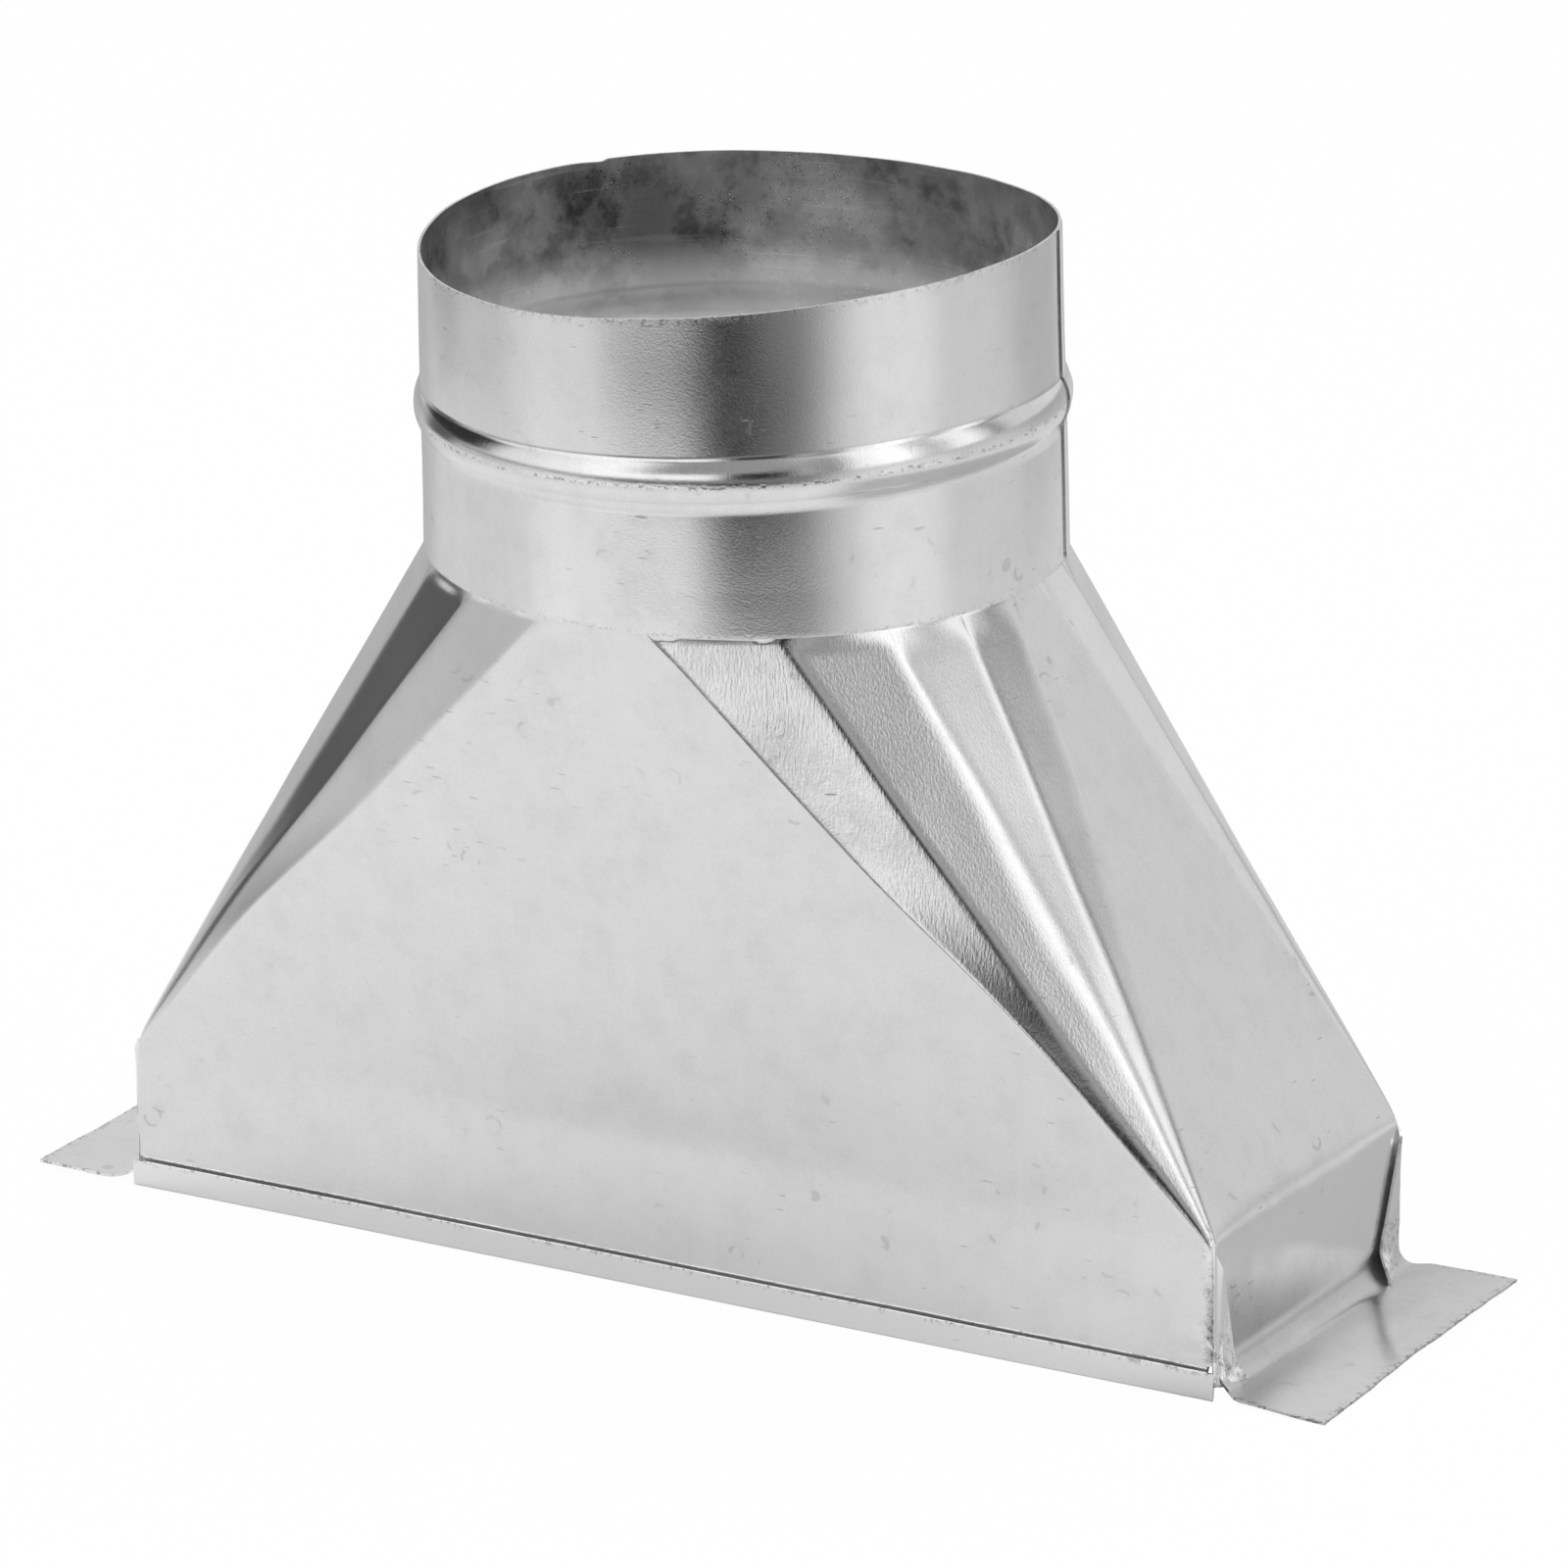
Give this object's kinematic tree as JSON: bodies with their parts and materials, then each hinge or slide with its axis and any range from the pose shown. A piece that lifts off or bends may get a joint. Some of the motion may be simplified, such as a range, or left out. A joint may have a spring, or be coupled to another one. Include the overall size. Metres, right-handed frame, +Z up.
{
  "type": "rectangular to round duct transition",
  "caption": "Sheet-steel adapter from a long rectangular duct mouth, with end flanges and creased corners, up to a round beaded collar.",
  "frame": {"origin": "centre of the rectangular mouth, in the plane of the flanges' undersides that it stands on", "axes": "+Z up the duct path to the round collar, +X along the rectangle's long side towards the collar's lap seam, +Y along its short side"},
  "size_m": [0.366, 0.1646, 0.2585],
  "materials": {
    "galvanised_sheet": "bright galvanised steel sheet, lightly scuffed, with faint rolling marks"
  },
  "bodies": {
    "root": {"transition_body": "galvanised_sheet", "round_collar": "galvanised_sheet"}
  },
  "joints": []
}
